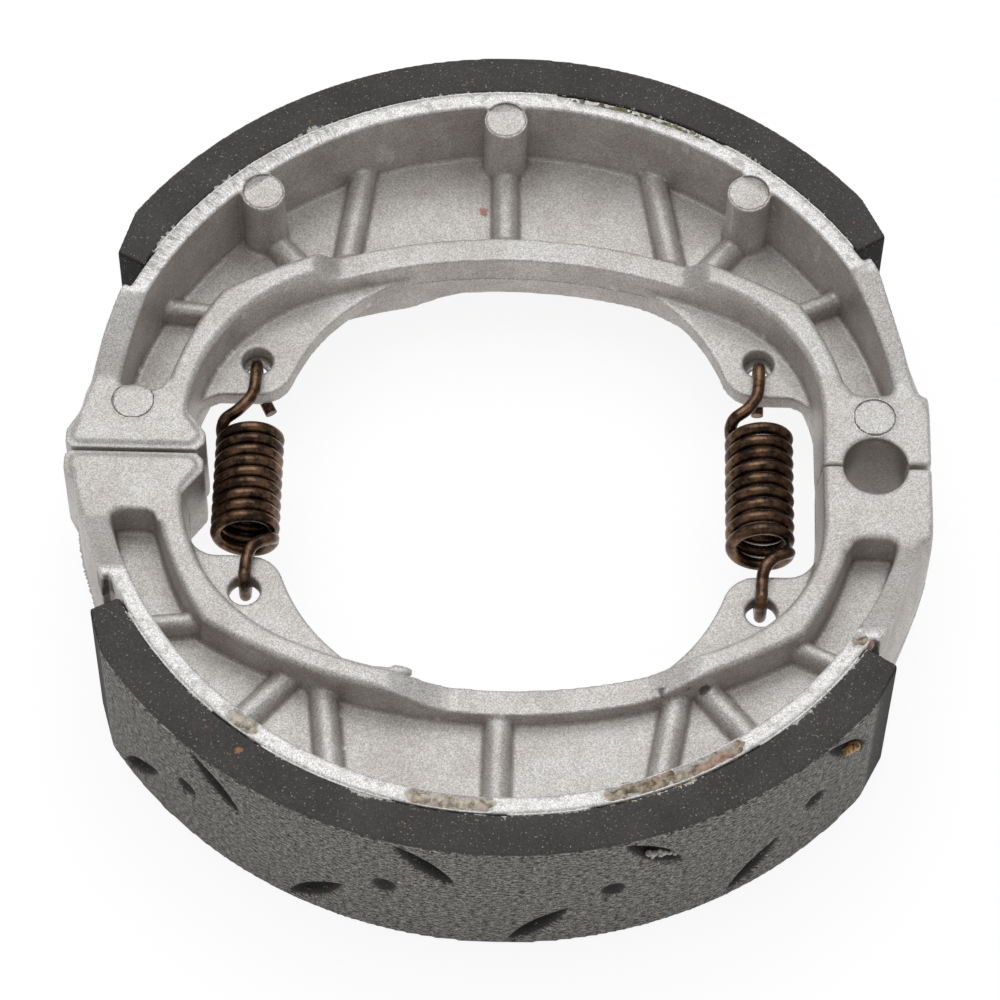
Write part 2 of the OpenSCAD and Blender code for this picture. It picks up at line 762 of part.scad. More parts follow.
// Round wire along a path
module wire(path) {
  n = across(path);
  count = len(path);
  rings = [
    for (i = [0 : count - 1])
      let (b = cross(heading(path, i), n[i]))
      for (k = [0 : wire_sides - 1])
        path[i] + wire_r * (cos(360 * k / wire_sides) * n[i] + sin(360 * k / wire_sides) * b)
  ];
  sides = [
    for (i = [0 : count - 2], k = [0 : wire_sides - 1])
      let (k2 = (k + 1) % wire_sides)
      [i * wire_sides + k, (i + 1) * wire_sides + k, (i + 1) * wire_sides + k2, i * wire_sides + k2]
  ];
  start = [for (k = [0 : wire_sides - 1]) k];
  end = [for (k = [wire_sides - 1 : -1 : 0]) (count - 1) * wire_sides + k];
  polyhedron(points = rings, faces = concat(sides, [start, end]));
}

module upper_shoe() {
  color(casting_color)
    raised()
      casting();
}

module lower_shoe() {
  color(casting_color)
    turned_over()
      casting();
}

module upper_lining() {
  color(lining_color)
    raised()
      lining();
}

module lower_lining() {
  color(lining_color)
    turned_over()
      lining();
}

module cam_side_spring() {
  color(spring_color)
    raised()
      wire(spring_path(-cam_hole_x - cam_coil_out, cam_coil_shift, wire_d + cam_turn_gap,
                       -cam_hole_x, cam_hole_y, cam_tip_out));
}

module anchor_side_spring() {
  color(spring_color)
    raised()
      wire(spring_path(anchor_hole_x, anchor_coil_shift, wire_d + anchor_turn_gap,
                       anchor_hole_x, anchor_hole_y, 0));
}

upper_shoe();
lower_shoe();
upper_lining();
lower_lining();
cam_side_spring();
anchor_side_spring();
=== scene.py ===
# %% [markdown]
# # A set of drum brake shoes
# Two die-cast aluminium shoes with bonded linings form a ring, and two hooked
# springs pull them together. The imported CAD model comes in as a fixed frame,
# and this file dresses it: each piece is either a CAD solid with a finish of
# its own, or a copy whose edges have been softened as a casting's are.

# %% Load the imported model
import math
import random

import bpy
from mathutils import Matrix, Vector


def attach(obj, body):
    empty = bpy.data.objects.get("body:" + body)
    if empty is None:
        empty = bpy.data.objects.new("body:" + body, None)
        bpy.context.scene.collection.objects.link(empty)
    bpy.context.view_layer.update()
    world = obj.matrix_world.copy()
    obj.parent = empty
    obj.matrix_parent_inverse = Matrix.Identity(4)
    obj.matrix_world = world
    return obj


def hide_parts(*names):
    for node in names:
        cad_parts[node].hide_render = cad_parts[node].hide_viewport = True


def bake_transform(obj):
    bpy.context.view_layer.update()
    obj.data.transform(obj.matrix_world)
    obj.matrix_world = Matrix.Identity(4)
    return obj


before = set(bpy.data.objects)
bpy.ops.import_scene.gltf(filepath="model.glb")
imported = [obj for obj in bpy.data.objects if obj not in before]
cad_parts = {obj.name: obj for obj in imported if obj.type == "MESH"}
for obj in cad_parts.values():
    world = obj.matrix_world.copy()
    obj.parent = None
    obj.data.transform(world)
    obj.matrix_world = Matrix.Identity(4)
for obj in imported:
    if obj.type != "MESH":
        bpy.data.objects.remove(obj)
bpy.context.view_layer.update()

# %% [markdown]
# ## The view
# The camera looks down at the set from the side of the lower shoe, through a
# long lens, so the far shoe is hardly smaller than the near one. Its place
# and turn were fitted to the round outlines of the linings.

# %% Camera
MM = 0.001

bpy.ops.object.camera_add(
    location=(0, -275.13 * MM, 466.8 * MM),
    rotation=(math.radians(30.924), math.radians(-0.626), math.radians(1.200)))
camera = bpy.context.object
camera.name = "photo_camera"
camera.data.lens = 160.4
camera.data.sensor_width = 36
camera.data.clip_start = 0.01
bpy.context.scene.camera = camera
print("camera is", round(camera.location.length, 3), "m from the drum axis")

# %% [markdown]
# ## Small tools
# Colours are written as the hex values that a paint shop would use and turned
# into the linear values that the shader counts with. One function adds a
# node, sets it up and links it. Another adds a modifier to the picked piece,
# sets it up and applies it.

# %% Colours, nodes and modifiers
def linear(hex_colour):
    parts = [int(hex_colour[i:i + 2], 16) / 255 for i in (1, 3, 5)]
    return [c / 12.92 if c <= 0.04045 else ((c + 0.055) / 1.055) ** 2.4 for c in parts] + [1.0]


def add_node(material, kind, inputs=None, **settings):
    node = material.node_tree.nodes.new("ShaderNode" + kind)
    for name, value in settings.items():
        setattr(node, name, value)
    for name, value in (inputs or {}).items():
        if isinstance(value, bpy.types.NodeSocket):
            material.node_tree.links.new(value, node.inputs[name])
        else:
            node.inputs[name].default_value = value
    return node


def new_material(name):
    material = bpy.data.materials.new(name)
    material.use_nodes = True
    material.node_tree.nodes.clear()
    return material


def deselect():
    if bpy.context.object and bpy.context.object.mode != "OBJECT":
        bpy.ops.object.mode_set(mode="OBJECT")
    bpy.ops.object.select_all(action="DESELECT")


def pick(piece):
    deselect()
    piece.select_set(True)
    bpy.context.view_layer.objects.active = piece


def modify(piece, kind, **settings):
    modifier = piece.modifiers.new(kind.lower(), kind)
    for name, value in settings.items():
        setattr(modifier, name, value)
    bpy.ops.object.modifier_apply(modifier=modifier.name)

# %% [markdown]
# ## Ground and light
# The set lies on a plain white sheet. The sheet is lit like everything else,
# so it keeps a soft shadow, and it glows a little for the camera so that the
# ground stays white. One wide lamp hangs high and a little behind the set,
# because the sides of the castings that face the camera are in shade while
# every upper face is bright, and the world fills in evenly.

# %% White sheet
deselect()
bpy.ops.mesh.primitive_plane_add(size=3, location=(0, 0, 0))
sheet = bpy.context.object
sheet.name = "white_sheet"

paper = new_material("white_paper")
path = add_node(paper, "LightPath")
seen = add_node(paper, "Math", {0: path.outputs["Is Camera Ray"], 1: path.outputs["Is Glossy Ray"]},
                operation="MAXIMUM")
amount = add_node(paper, "Math", {0: seen.outputs[0], 1: 0.8}, operation="MULTIPLY")
matt = add_node(paper, "BsdfDiffuse", {"Color": linear("#F4F4F4")})
glow = add_node(paper, "Emission", {"Color": linear("#FFFFFF"), "Strength": 1.1})
both = add_node(paper, "MixShader", {0: amount.outputs[0], 1: matt.outputs[0], 2: glow.outputs[0]})
add_node(paper, "OutputMaterial", {"Surface": both.outputs[0]})
sheet.data.materials.append(paper)

# %% World and lamp
world = bpy.data.worlds.new("even_room")
bpy.context.scene.world = world
world.use_nodes = True
world.node_tree.nodes["Background"].inputs["Color"].default_value = linear("#FFFFFF")
world.node_tree.nodes["Background"].inputs["Strength"].default_value = 0.45

bpy.ops.object.light_add(type="AREA", location=(-0.05, 0.33, 0.82))
lamp = bpy.context.object
lamp.name = "high_softbox"
lamp.data.shape = "SQUARE"
lamp.data.size = 0.85
lamp.data.energy = 3.35
lamp.rotation_euler = (Vector((0, 0, 0)) - lamp.location).to_track_quat("-Z", "Y").to_euler()
bpy.context.scene.view_settings.view_transform = "Standard"
print("lamp at", [round(x, 2) for x in lamp.location])

# %% [markdown]
# ## Castings
# A die casting has no sharp edge anywhere: each corner of the mould is
# rounded, and each inner corner carries a fillet. Bevelling every edge by
# hand would take hundreds of picks, so a copy of each shoe is rebuilt as an
# even skin of fine voxels and smoothed, which rounds the outer corners and
# fills the inner ones by the same few tenths of a millimetre. Where the
# slopes of the arms run into the pads, the real curve is wider, so the points
# near there are smoothed many times more, fading out over a few millimetres.

# %% Softened copies
# heights over the sheet in millimetres: the middle plane and the top of the set
MID_Z = 11.2
TOP_Z = 22.4
CASTING_VOXEL = 0.25 * MM
LINING_VOXEL = 0.27 * MM
TRIANGLE_LIMIT = 195000


def triangle_count(piece):
    return sum(len(p.vertices) - 2 for p in piece.data.polygons)


def soft_copy(node_name, piece_name, voxel, rounds):
    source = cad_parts[node_name]
    piece = bpy.data.objects.new(piece_name, source.data.copy())
    bpy.context.scene.collection.objects.link(piece)
    piece.data.materials.clear()
    pick(piece)
    bpy.ops.object.mode_set(mode="EDIT")
    bpy.ops.mesh.select_all(action="SELECT")
    bpy.ops.mesh.remove_doubles(threshold=0.000001)
    bpy.ops.mesh.normals_make_consistent(inside=False)
    bpy.ops.object.mode_set(mode="OBJECT")
    modify(piece, "REMESH", mode="VOXEL", voxel_size=voxel)
    modify(piece, "SMOOTH", factor=0.5, iterations=rounds)
    print(piece_name, "has a skin of", triangle_count(piece), "triangles")
    return piece


def slim(piece):
    before = triangle_count(piece)
    if before > TRIANGLE_LIMIT:
        pick(piece)
        modify(piece, "DECIMATE", ratio=TRIANGLE_LIMIT / before)
    bpy.ops.object.shade_smooth()
    print(piece.name, "from", before, "to", triangle_count(piece), "triangles")


# foot of the slope on each arm: place beside the joint line, and its height
SLOPE_FEET = [(-49, 9.5), (46, 11.0)]
SLOPE_REACH = 4.5 * MM
SLOPE_STRETCH = 1.6
SLOPE_LOW = 3.5
SLOPE_ROUNDS = 45


def ease_slopes(piece):
    group = piece.vertex_groups.new(name="slope_feet")
    eased = 0
    for v in piece.data.vertices:
        weight = 0
        for x, y in SLOPE_FEET:
            near = math.hypot((v.co.x - x * MM) / SLOPE_STRETCH, abs(v.co.y) - y * MM)
            weight = max(weight, 1 - near / SLOPE_REACH)
        weight = min(weight * 2, 1) * min(max(abs(v.co.z / MM - MID_Z) - SLOPE_LOW, 0), 1)
        if weight > 0:
            group.add([v.index], weight, "REPLACE")
            eased += 1
    pick(piece)
    modify(piece, "SMOOTH", vertex_group=group.name, factor=0.5, iterations=SLOPE_ROUNDS)
    print(piece.name, "has", eased, "points eased on its slopes")


castings = {}
for side in ("upper", "lower"):
    castings[side] = soft_copy(side + "_shoe", side + "_casting", CASTING_VOXEL, 3)
    ease_slopes(castings[side])
    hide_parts(side + "_shoe")
    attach(castings[side], side)

# %% [markdown]
# ### Places on a shoe
# The two castings came out of one mould, and the lower one lies turned over.
# So each detail is placed once, on the upper shoe, by its angle and radius
# from the drum axis, and a small function turns it over for the lower one.

# %% Places and tubes
TABLE_R = 49.6
TABLE_IN_R = 47.5


def ring_point(radius, angle, z):
    return Vector((radius * math.cos(math.radians(angle)), radius * math.sin(math.radians(angle)), z))


def on_shoe(side, point):
    if side == "upper":
        return Vector(point)
    return Vector((point[0], -point[1], TOP_Z - point[2]))


def tube(name, path, radius, thickness=None, sides=4):
    deselect()
    bpy.ops.curve.primitive_nurbs_path_add()
    wire = bpy.context.object
    wire.name = name
    wire.data.splines.clear()
    line = wire.data.splines.new("POLY")
    line.points.add(len(path) - 1)
    for i, (point, place) in enumerate(zip(line.points, path)):
        point.co = [*(c * MM for c in place), 1]
        point.radius = thickness[i] if thickness else 1
    wire.data.bevel_depth = radius * MM
    wire.data.bevel_resolution = sides
    wire.data.use_fill_caps = True
    wire.location = (0, 0, 0)
    bpy.ops.object.convert(target="MESH")
    wire = bpy.context.object
    bpy.ops.object.mode_set(mode="EDIT")
    bpy.ops.mesh.select_all(action="SELECT")
    bpy.ops.mesh.remove_doubles(threshold=0.000001)
    bpy.ops.mesh.normals_make_consistent(inside=False)
    bpy.ops.object.mode_set(mode="OBJECT")
    return wire


def joined(pieces, name):
    deselect()
    for piece in pieces:
        piece.select_set(True)
    bpy.context.view_layer.objects.active = pieces[0]
    bpy.ops.object.join()
    pieces[0].name = name
    return pieces[0]


def cut(piece, cutter):
    pick(piece)
    modify(piece, "BOOLEAN", operation="DIFFERENCE", solver="MANIFOLD", object=cutter)
    bpy.data.objects.remove(cutter, do_unlink=True)

# %% [markdown]
# ### Marks of the mould
# The pins that push a hot casting out of its mould leave a round mark with a
# fine sharp edge on every boss and on both pads. Each mark is a shallow disc
# cut with a cylinder and a groove cut with a thin ring. The bosses reach into
# the table, so their discs take a bite out of its edge as well.

# %% Ejector marks
BOSS_R = 45.7
BOSS_A = 91.4
BOSS_STEP = 40.2
BOSS_TOP = 22.1
DISC_R = 2.45
GROOVE_R = 0.13
PAD_TOP = 17.7
PAD_MARKS = [(-44.65, 6.6), (43.6, 6.6)]

for side, casting in castings.items():
    bosses = [ring_point(BOSS_R, BOSS_A + i * BOSS_STEP, BOSS_TOP) for i in (-1, 0, 1)]
    marks = bosses + [Vector((x, y, PAD_TOP)) for x, y in PAD_MARKS]
    rings = []
    for place in marks:
        bpy.ops.mesh.primitive_torus_add(location=on_shoe(side, place) * MM, major_radius=DISC_R * MM,
                                         minor_radius=GROOVE_R * MM, major_segments=64, minor_segments=8)
        rings.append(bpy.context.object)
    cut(casting, joined(rings, "groove_cutter"))
    discs = []
    for place in bosses:
        middle = on_shoe(side, place + Vector((0, 0, 0.5)))
        bpy.ops.mesh.primitive_cylinder_add(location=middle * MM, radius=DISC_R * MM, depth=1 * MM,
                                            vertices=64)
        discs.append(bpy.context.object)
    cut(casting, joined(discs, "disc_cutter"))
    print(side, "casting has", len(marks), "ejector marks")

# %% [markdown]
# ### File marks
# The upper left edge of the table was dressed with a file, which left rough
# strokes across the edge about 0.7 mm apart. Each stroke is a thin bar that
# dips into the edge by up to a quarter of a millimetre, more at the outer end.
# The draws are seeded, so the strokes never change.

# %% File marks
FILED_FROM = 117.0
FILED_TO = 156
STROKE_R = 0.30
STROKE_DIP = (0.04, 0.26)
STROKE_LEAN = 0.4
STROKE_PITCH = (0.65, 1.0)

chance = random.Random(11)
strokes = []
angle = FILED_FROM
while angle < FILED_TO:
    dip = chance.uniform(*STROKE_DIP)
    lean = chance.uniform(-STROKE_LEAN, STROKE_LEAN)
    ends = [ring_point(TABLE_IN_R - 0.8, angle - lean, TOP_Z + STROKE_R - dip * 0.4),
            ring_point(TABLE_R + 0.1, angle + lean, TOP_Z + STROKE_R - dip)]
    strokes.append(tube("stroke", ends, STROKE_R, sides=1))
    angle += chance.uniform(*STROKE_PITCH)
print(len(strokes), "file strokes")
cut(castings["upper"], joined(strokes, "stroke_cutter"))

# %% [markdown]
# ### Channels under the squeezed adhesive
# Where adhesive has been pressed out along the joint of table and lining, it
# lies on a chipped edge. A bent rod that thins towards its ends takes the
# chips away, so that the hollow runs out gently, and the adhesive itself comes
# further down. Angles are those of the upper shoe, mirrored for the lower one.

# %% Chipped stretches of the table edge
GLUE_STRETCHES = [
    ("upper", 60, 83, "crumbs"), ("lower", 124, 130, "amber"), ("lower", 90, 103, "amber"),
    ("lower", 55, 76.5, "brown"), ("lower", 31, 34.5, "brown")]
# how far inside the table's edge the rod lies, its radius, and how deep it cuts
CHIPS = {"amber": (1.2, 1.8, 0.55), "brown": (1.15, 1.6, 0.45), "crumbs": (0.35, 0.6, 0.28)}


def facing_up(side, radius, angle, depth):
    return ring_point(radius, angle if side == "upper" else -angle, TOP_Z - depth)


def arc_path(side, radius, a0, a1, depth, step=0.5):
    count = max(2, round(abs(a1 - a0) / step))
    return [facing_up(side, radius, a0 + (a1 - a0) * i / count, depth) for i in range(count + 1)]


for side, a0, a1, kind in GLUE_STRETCHES:
    inset, rod_r, deep = CHIPS[kind]
    channel = arc_path(side, TABLE_R - inset, a0, a1, deep - rod_r)
    run_out = [min(1, 1 - deep / rod_r + 0.1 * min(i, len(channel) - 1 - i)) for i in range(len(channel))]
    cut(castings[side], tube("chip_cutter", channel, rod_r, run_out))
for casting in castings.values():
    slim(casting)

# %% [markdown]
# ### Flash
# Molten metal creeps a little way between the halves of the mould and leaves
# a thin ragged seam at mid height: a fine even line inside the rim, and a
# rougher one outside the arms. A tube with an uneven radius makes both, and
# also the scraped burr that closes the joint of table and lining. The lower
# rim keeps a thick nib of flash, and the spring holes of the upper shoe keep a
# thin skin of metal at their foot, where the two halves of the mould met.

# %% Flash and burrs
RIM_R = 62.4
RIM_Y = -32.9
CAM_CORNER = (-16.2, 4.76, 21.4)
ANCHOR_CORNER = (18.9, 7.39, 17.9)
CAM_WALL_X = -37.6
ANCHOR_WALL_X = 36.8


def arc_about(x, y, radius, a0, a1, z, count=40):
    return [Vector((x, y, 0)) + ring_point(radius, a0 + (a1 - a0) * i / count, z) for i in range(count + 1)]


def rim_seam():
    cam_a = math.degrees(math.atan2(CAM_CORNER[1] - RIM_Y, CAM_CORNER[0]))
    anchor_a = math.degrees(math.atan2(ANCHOR_CORNER[1] - RIM_Y, ANCHOR_CORNER[0]))
    return ([Vector((CAM_WALL_X, 1.0, MID_Z))]
            + arc_about(CAM_CORNER[0], CAM_CORNER[1], CAM_CORNER[2], 180, cam_a, MID_Z, 30)
            + arc_about(0, RIM_Y, RIM_R, cam_a - 1, anchor_a + 1, MID_Z, 60)
            + arc_about(ANCHOR_CORNER[0], ANCHOR_CORNER[1], ANCHOR_CORNER[2], anchor_a, 0, MID_Z, 30)
            + [Vector((ANCHOR_WALL_X, 1.0, MID_Z))])


def uneven(count, low, high, seed, ends=0.3):
    draw = random.Random(seed)
    widths = [draw.uniform(low, high) for _ in range(count)]
    widths[0] = widths[-1] = ends * low
    return widths


OUTER_SEAM_R = 51.05
# stretches by angle: of burr, and of outer seam with its least and greatest share of thickness
BURRS = {"upper": [(34, 59), (84, 150)], "lower": [(35, 54), (78, 89), (104, 123), (131, 150)]}
BURR_R = 0.19
INNER_SEAM_R = 0.11
OUTER_SEAM_THICK = 0.24
OUTER_SEAMS = [(158, 176, 0.3, 1.6), (13.5, 30, 0.4, 0.6)]
EAR_HOLES = [(-30.5, 16.0), (30.2, 17.3)]
SKIN_R = 1.95
SKIN_Z = MID_Z - 1.0
PASSAGE_R = 1.2
PASSAGE_SHIFT = 0.65
NIB_R = 0.8
NIB_X = [-15.2, -14.6, -13.0, -12.4, -11.6, -10.9, -10.4]
NIB_WIDTHS = [0.5, 0.7, 0.6, 1.0, 0.9, 0.7, 0.4]
NIB_Z = 16.4


# skin of metal left at the foot of a hole, open where the hook passes
def hole_skin(x, y):
    bpy.ops.mesh.primitive_cylinder_add(vertices=48, radius=SKIN_R * MM, depth=0.3 * MM,
                                        location=Vector((x, y, SKIN_Z)) * MM)
    skin = bpy.context.object
    bpy.ops.mesh.primitive_cylinder_add(vertices=48, radius=PASSAGE_R * MM, depth=2 * MM,
                                        location=Vector((x, y - PASSAGE_SHIFT, SKIN_Z)) * MM)
    cut(skin, bpy.context.object)
    return skin


seams = []
for side in ("upper", "lower"):
    inner = [on_shoe(side, p) for p in rim_seam()]
    parts = [tube("inner_seam", inner, INNER_SEAM_R, uneven(len(inner), 0.7, 1.2, 3), sides=2)]
    for a0, a1, low, high in OUTER_SEAMS:
        outer = [on_shoe(side, p) for p in arc_about(0, 0, OUTER_SEAM_R, a0, a1, MID_Z, 70)]
        parts.append(tube("outer_seam", outer, OUTER_SEAM_THICK, uneven(len(outer), low, high, a0),
                          sides=2))
    for a0, a1 in BURRS[side]:
        edge = arc_path(side, TABLE_R + 0.05, a0, a1, 0.20, 0.35)
        parts.append(tube("table_burr", edge, BURR_R, uneven(len(edge), 0.6, 1.0, a0), sides=2))
    if side == "lower":
        nib = [Vector((x, -29.0 - 0.03 * x, NIB_Z)) for x in NIB_X]
        parts.append(tube("nib", nib, NIB_R, NIB_WIDTHS, sides=3))
    else:
        for x, y in EAR_HOLES:
            parts.append(hole_skin(x, y))
    seam = joined(parts, side + "_flash")
    bpy.ops.object.shade_smooth()
    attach(seam, side)
    seams.append(seam)
    print(seam.name, "has", len(seam.data.polygons), "faces")

# %% [markdown]
# ### Finish of the castings
# The real surface is an aluminium die casting blasted with fine grit: matt,
# pale and slightly warm, with a salt and pepper sparkle from thousands of
# tiny craters about 0.13 mm across. Upright walls are painted darker and
# browner as shade, hollows are painted darker as dirt and shade, and the edges
# of the tables, which were scraped clean for bonding, are whiter. All of it is
# worked out from the place on the piece, its direction and how hollow it is.

# %% Grit-blasted die-cast aluminium
# the last spot paints shade, with some dirt, into the notch between shoulder and lining end on the lower
# shoe
STAINS_AND_SHADE_SPOTS = [((-3.6, 38.6, 12.4), 0.8, "#B0603F"), ((18.2, -29.95, 15.45), 0.7, "#37322F"),
         ((21.7, -29.4, 15.6), 0.4, "#37322F"), ((23.5, -28.9, 14.3), 0.9, "#2C2826"),
         ((-46.2, -20.1, 19.8), 1.9, "#3A3633")]
BORE_X = 43.6
BORE_R = 3.75


def cast_aluminium():
    m = new_material("grit_blasted_die_cast_aluminium")
    coordinates = add_node(m, "TexCoord")
    place = coordinates.outputs["Object"]
    split = add_node(m, "SeparateXYZ", {"Vector": place})
    facing = add_node(m, "SeparateXYZ", {"Vector": coordinates.outputs["Normal"]})
    craters = add_node(m, "TexVoronoi", {"Vector": place, "Scale": 1 / (0.125 * MM)})
    grit = add_node(m, "TexNoise", {"Vector": place, "Scale": 1 / (0.17 * MM), "Detail": 2.0,
                                    "Roughness": 0.7})
    clouds = add_node(m, "TexNoise", {"Vector": place, "Scale": 1 / (7 * MM), "Detail": 6.0,
                                      "Roughness": 0.65})
    tone = add_node(m, "MapRange", {"Value": clouds.outputs["Fac"], "From Min": 0.38, "From Max": 0.62})
    base = add_node(m, "Mix", {"Factor": tone.outputs[0], "A": linear("#CBC6C2"), "B": linear("#DAD8D5")},
                    data_type="RGBA")
    # painted shade: walls are made browner and darker than the faces that look up or down
    upright = add_node(m, "Math", {0: facing.outputs["Z"]}, operation="ABSOLUTE")
    wall_shade = add_node(m, "MapRange", {"Value": upright.outputs[0], "From Min": 0.75, "From Max": 0.25,
                                    "To Max": 0.75})
    wall_shade_tone = add_node(m, "Mix", {"Factor": tone.outputs[0], "A": linear("#B5ACA5"), "B": linear("#D0CAC5")},
                    data_type="RGBA")
    wall_shaded = add_node(m, "Mix", {"Factor": wall_shade.outputs[0], "A": base.outputs["Result"],
                                 "B": wall_shade_tone.outputs["Result"]}, data_type="RGBA")
    # dirt and painted shade in the hollows, and bright worn corners
    form = add_node(m, "NewGeometry").outputs["Pointiness"]
    hollow_dirt_and_shade = add_node(m, "MapRange", {"Value": form, "From Min": 0.497, "From Max": 0.460, "To Max": 0.55})
    dirt_and_shade_mixed = add_node(m, "Mix", {"Factor": hollow_dirt_and_shade.outputs[0], "A": wall_shaded.outputs["Result"],
                                "B": linear("#8A8079")}, data_type="RGBA")
    corner = add_node(m, "MapRange", {"Value": form, "From Min": 0.510, "From Max": 0.560, "To Max": 0.6})
    worn = add_node(m, "Mix", {"Factor": corner.outputs[0], "A": dirt_and_shade_mixed.outputs["Result"],
                               "B": linear("#E6E3E0")}, data_type="RGBA")
    # scraped edge of the table: beyond its inner side and within 0.3 mm of the top or bottom
    flat = add_node(m, "CombineXYZ", {"X": split.outputs["X"], "Y": split.outputs["Y"]})
    radius = add_node(m, "VectorMath", {0: flat.outputs[0]}, operation="LENGTH")
    over_table = add_node(m, "MapRange", {"Value": radius.outputs["Value"], "From Min": 47.0 * MM,
                                          "From Max": 47.6 * MM})
    height = add_node(m, "Math", {0: split.outputs["Z"], 1: MID_Z * MM}, operation="SUBTRACT")
    off_middle = add_node(m, "Math", {0: height.outputs[0]}, operation="ABSOLUTE")
    at_edge = add_node(m, "MapRange", {"Value": off_middle.outputs[0], "From Min": 10.8 * MM,
                                       "From Max": 11.05 * MM, "To Max": 0.9})
    scraped = add_node(m, "Math", {0: over_table.outputs[0], 1: at_edge.outputs[0]}, operation="MULTIPLY")
    patchy = add_node(m, "TexNoise", {"Vector": place, "Scale": 1 / (1.1 * MM), "Detail": 4.0})
    patch = add_node(m, "MapRange", {"Value": patchy.outputs["Fac"], "From Min": 0.36, "From Max": 0.48})
    share = add_node(m, "Math", {0: scraped.outputs[0], 1: patch.outputs[0]}, operation="MULTIPLY")
    edged = add_node(m, "Mix", {"Factor": share.outputs[0], "A": worn.outputs["Result"],
                                "B": linear("#F4F3F1")}, data_type="RGBA")
    # painted shade: the inside of the anchor bore is made darker and browner
    off_bore = add_node(m, "VectorMath", {0: flat.outputs[0], 1: (BORE_X * MM, 0, 0)}, operation="DISTANCE")
    bore_shade = add_node(m, "MapRange", {"Value": off_bore.outputs["Value"], "From Min": (BORE_R + 0.2) * MM,
                                       "From Max": (BORE_R + 0.1) * MM, "To Max": 0.7})
    look = add_node(m, "Mix", {"Factor": bore_shade.outputs[0], "A": edged.outputs["Result"],
                               "B": linear("#857C71")}, data_type="RGBA")
    # rust on the web of the upper shoe, soot on the rim of the lower one, and painted shade with some dirt
    # in its left notch
    ragged = add_node(m, "Math", {0: patchy.outputs["Fac"], 1: 2.4 * MM}, operation="MULTIPLY")
    for centre, spot_r, shade in STAINS_AND_SHADE_SPOTS:
        away = add_node(m, "VectorMath", {0: place, 1: [c * MM for c in centre]}, operation="DISTANCE")
        reach = add_node(m, "Math", {0: away.outputs["Value"], 1: ragged.outputs[0]}, operation="ADD")
        spot = add_node(m, "MapRange", {"Value": reach.outputs[0], "From Min": (spot_r + 1.1) * MM,
                                        "From Max": (spot_r + 0.7) * MM, "To Max": 0.75})
        look = add_node(m, "Mix", {"Factor": spot.outputs[0], "A": look.outputs["Result"],
                                   "B": linear(shade)}, data_type="RGBA")
    # the grain of the blasting, cell by cell
    cells = add_node(m, "SeparateColor", {"Color": craters.outputs["Color"]})
    grain = add_node(m, "Math", {0: cells.outputs["Red"], 1: grit.outputs["Fac"]}, operation="ADD")
    speck = add_node(m, "MapRange", {"Value": grain.outputs[0], "From Min": 0.45, "From Max": 1.55,
                                     "To Min": 0.60, "To Max": 1.20}, clamp=False)
    colour = add_node(m, "Mix", {"Factor": 1.0, "A": look.outputs["Result"], "B": speck.outputs[0]},
                      data_type="RGBA", blend_type="MULTIPLY")
    bump = add_node(m, "Bump", {"Height": grain.outputs[0], "Strength": 0.35, "Distance": 0.04 * MM})
    metal = add_node(m, "BsdfPrincipled", {"Base Color": colour.outputs["Result"], "Metallic": 0.45,
                                           "Roughness": 0.43, "Normal": bump.outputs[0]})
    add_node(m, "OutputMaterial", {"Surface": metal.outputs[0]})
    return m


aluminium = cast_aluminium()
for piece in [*castings.values(), *seams]:
    piece.data.materials.clear()
    piece.data.materials.append(aluminium)

# %% [markdown]
# ## Linings
# The friction material is pressed from fibre, resin and brass dust, so it is
# nearly black with fine pale specks. Its flat sides are smooth charcoal. The
# outer face was ground to size: it shows the fibres as pale streaks that run
# round the drum, and the leaf-shaped slots in it are painted black as shade. Its
# edges are slightly broken, so the copy is softened by a few tenths. Metal
# dragged from the table reaches a little way over its flat sides.

# %% Linings
linings = {}
for side in ("upper", "lower"):
    linings[side] = soft_copy(side + "_lining", side + "_friction_lining", LINING_VOXEL, 4)
    slim(linings[side])
    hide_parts(side + "_lining")
    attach(linings[side], side)


ORANGE_GRAIN = (-29.35, -42.4, 22.4)
DRUM_R = 55
STREAK_L = 0.8
STREAK_W = 0.24


